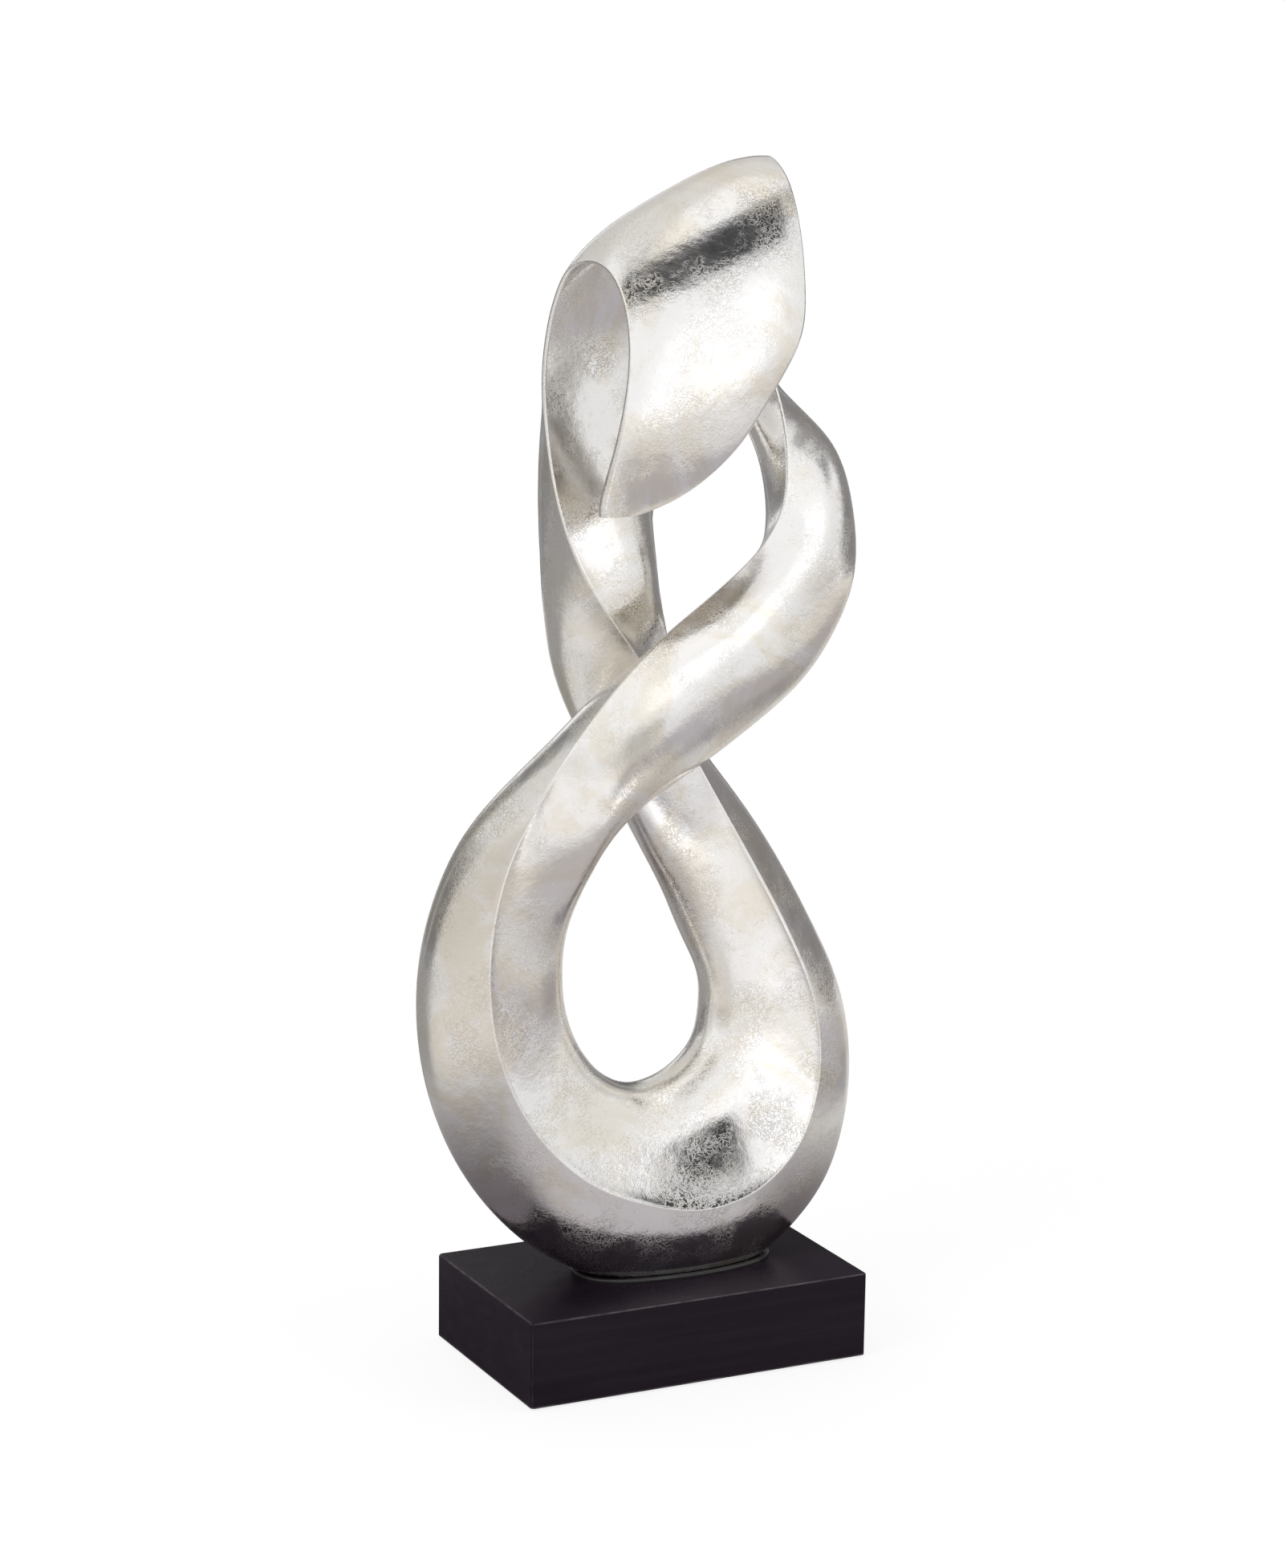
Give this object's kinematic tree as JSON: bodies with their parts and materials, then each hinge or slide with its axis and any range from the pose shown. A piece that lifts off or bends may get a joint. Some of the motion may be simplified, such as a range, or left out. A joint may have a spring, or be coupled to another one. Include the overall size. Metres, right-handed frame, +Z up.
{
  "type": "abstract knot sculpture",
  "caption": "Free-standing abstract sculpture: a broad silver-leafed band knotted into a figure of eight that ends in a rolled hood, bolted to a black rectangular plinth.",
  "frame": {"origin": "centre of the resting face, on the surface that the sculpture stands on, under the middle of the plinth", "axes": "+X to the right along the plinth's long front face, +Y to the back, +Z up"},
  "size_m": [0.2625, 0.1277, 0.6564],
  "materials": {
    "silver_leaf": "silver leaf over a casting, satin to glossy, with fine crackle and warm patches",
    "black_lacquer": "satin black lacquer on wood, edges worn a little",
    "adhesive": "glossy cured adhesive",
    "brass_insert": "turned brass",
    "zinc_steel": "zinc-plated steel",
    "felt": "black felt"
  },
  "bodies": {
    "root": {"knot_casting": "silver_leaf", "adhesive_bead": "adhesive", "plinth_block": "black_lacquer", "felt_sheet": "felt", "insert_left": "brass_insert", "insert_right": "brass_insert", "washer_left": "zinc_steel", "washer_right": "zinc_steel", "screw_left": "zinc_steel", "screw_right": "zinc_steel"}
  },
  "joints": []
}
